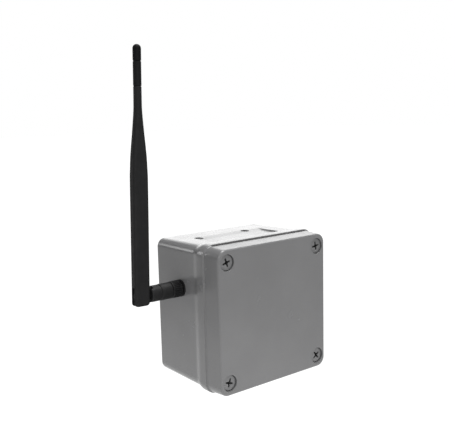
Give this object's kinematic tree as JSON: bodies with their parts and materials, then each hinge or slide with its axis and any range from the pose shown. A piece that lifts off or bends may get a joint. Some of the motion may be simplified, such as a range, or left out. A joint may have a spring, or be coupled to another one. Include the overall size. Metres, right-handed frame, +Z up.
{
  "type": "outdoor wireless bridge",
  "caption": "Outdoor wireless bridge: cast wall enclosure with a screwed, gasketed lid, a cable gland and a whip antenna on a swivelling, folding elbow.",
  "frame": {"origin": "middle of the four wall holes, on the back face of the base", "axes": "+Y out of the back into the wall (the lid faces -Y), +Z up along the antenna at rest, +X towards the cable gland, away from the antenna"},
  "size_m": [0.184, 0.086, 0.2774],
  "materials": {
    "cast_grey": "grey powder coat over die-cast aluminium, fine texture",
    "seal_black": "matte black rubber",
    "lid_screw_steel": "dull grey plated steel",
    "zinc_steel": "zinc-plated steel",
    "tinned_steel": "bright tinned steel",
    "plain_brass": "turned brass",
    "nickel_brass": "nickel-plated brass",
    "jack_black": "black-plated brass",
    "contact_gold": "gold-plated contacts",
    "board_green": "green solder resist over glass fibre",
    "chip_black": "moulded black epoxy",
    "sink_black": "black anodised",
    "slot_ivory": "ivory nylon",
    "terminal_green": "green polyamide",
    "capacitor_blue": "dark blue shrink sleeve",
    "lamp_clear": "clear lamp resin",
    "ptfe_white": "white fluoropolymer",
    "cable_brown": "brown fluoropolymer jacket",
    "terminal_screw": "zinc-plated steel",
    "nut_black": "black plated, knurled",
    "pin_steel": "stainless steel",
    "antenna_black": "satin black moulded plastic",
    "cap_black": "black moulded plastic",
    "gland_grey": "grey polyamide"
  },
  "bodies": {
    "housing": {"enclosure_base": "cast_grey", "mounting_plate": "zinc_steel", "plate_screws": "zinc_steel", "board_standoffs": "plain_brass", "main_board": "board_green", "board_screws": "zinc_steel", "processor_chip": "chip_black", "processor_heat_sink": "sink_black", "memory_chips": "chip_black", "radio_card": "board_green", "radio_card_slot": "slot_ivory", "radio_shield": "tinned_steel", "ethernet_jack": "tinned_steel", "ethernet_contacts": "contact_gold", "ethernet_transformer": "chip_black", "power_terminal_block": "terminal_green", "power_terminal_screws": "terminal_screw", "board_capacitors": "capacitor_blue", "power_inductor": "chip_black", "status_lamps": "lamp_clear", "reset_switch": "chip_black", "earth_screw": "plain_brass", "earth_washer": "plain_brass", "coax_pigtail": "cable_brown", "pigtail_plug": "contact_gold", "bulkhead_jack": "jack_black", "bulkhead_seal": "seal_black", "bulkhead_insulator": "ptfe_white", "bulkhead_contact": "contact_gold", "bulkhead_washer": "zinc_steel", "bulkhead_nut": "nickel_brass", "antenna_plug": "nickel_brass", "antenna_plug_insulator": "ptfe_white", "antenna_plug_pin": "contact_gold", "gland_body": "gland_grey", "gland_washer": "seal_black", "gland_nut": "gland_grey", "gland_seal": "seal_black", "gland_claw_ring": "gland_grey"},
    "lid": {"enclosure_lid": "cast_grey", "lid_gasket": "seal_black", "lid_screws": "lid_screw_steel", "lid_screw_retainers": "seal_black"},
    "coupling_nut": {"antenna_coupling_nut": "nut_black"},
    "antenna_knuckle": {"antenna_knuckle": "antenna_black", "antenna_elbow_pin": "pin_steel"},
    "antenna_mast": {"antenna_blade": "antenna_black", "antenna_upper_sleeve": "antenna_black", "antenna_tip_cap": "cap_black", "antenna_radiator": "plain_brass", "antenna_choke": "plain_brass", "antenna_feed_cable": "cable_brown"},
    "gland_cap": {"gland_cap_nut": "gland_grey"},
    "reset_button": {"reset_button": "chip_black"}
  },
  "joints": [
    {"name": "lid_lift_off", "type": "slide", "parent": "housing", "child": "lid", "axis": [0, -1, 0], "range_m": [0, 0.06]},
    {"name": "coupling_nut_spin", "type": "hinge", "parent": "housing", "child": "coupling_nut", "pos_m": [-0.065, -0.0344, 0.0213], "axis": [-1, 0, 0], "continuous": true},
    {"name": "antenna_swivel", "type": "hinge", "parent": "housing", "child": "antenna_knuckle", "pos_m": [-0.08, -0.0344, 0.0213], "axis": [-1, 0, 0], "range_deg": [-180, 180]},
    {"name": "antenna_elbow", "type": "hinge", "parent": "antenna_knuckle", "child": "antenna_mast", "pos_m": [-0.0959, -0.0344, 0.0213], "axis": [0, -1, 0], "range_deg": [0, 92]},
    {"name": "gland_cap_spin", "type": "hinge", "parent": "housing", "child": "gland_cap", "pos_m": [0.075, -0.036, -0.012], "axis": [1, 0, 0], "continuous": true},
    {"name": "reset_press", "type": "slide", "parent": "housing", "child": "reset_button", "axis": [0, 1, 0], "range_m": [0, 0.0006], "stiffness_N_per_m": 400}
  ]
}
